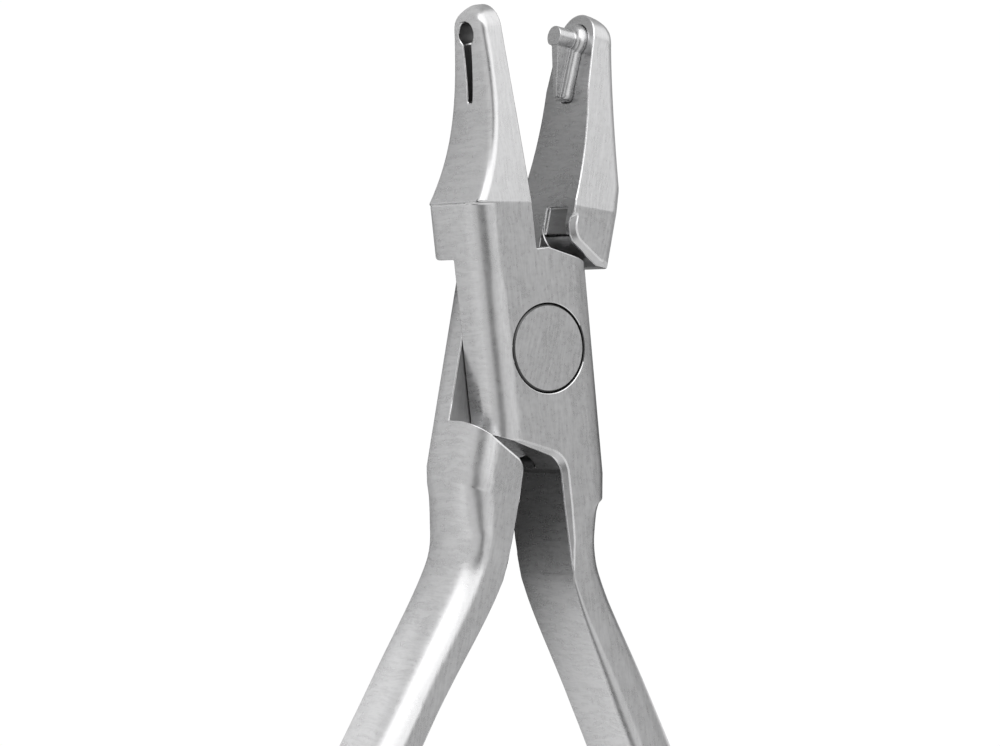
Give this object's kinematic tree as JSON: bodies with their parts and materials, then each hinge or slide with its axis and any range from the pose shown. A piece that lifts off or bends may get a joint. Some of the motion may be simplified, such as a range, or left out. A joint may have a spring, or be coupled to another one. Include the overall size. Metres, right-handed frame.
{
  "type": "orthodontic pliers",
  "caption": "Orthodontic hole-punch pliers for clear aligners: lap-jointed steel halves on a flush pivot pin, a key-shaped punch in one jaw closing through a matching die in the other.",
  "frame": {"origin": "centre of the pivot pin's flat end on the back, which is the plane the pliers rest on", "axes": "+Z along the pivot axis out of the front face, +Y towards the jaw tips, +X towards the front half's handle side"},
  "size_m": [0.0738, 0.1357, 0.0075],
  "materials": {
    "satin_steel": "satin blasted and lightly brushed stainless steel",
    "pin_steel": "face ground flush with fine lengthwise lines",
    "punch_steel": "hardened tool steel, fine ground"
  },
  "bodies": {
    "rear_body": {"rear_half": "satin_steel", "pivot_pin": "pin_steel", "punch_insert": "punch_steel"},
    "front_body": {"front_half": "satin_steel"}
  },
  "joints": [
    {"name": "pivot", "type": "hinge", "parent": "rear_body", "child": "front_body", "pos_m": [0, 0, 0], "axis": [0, 0, 1], "range_deg": [-18, 20]}
  ]
}
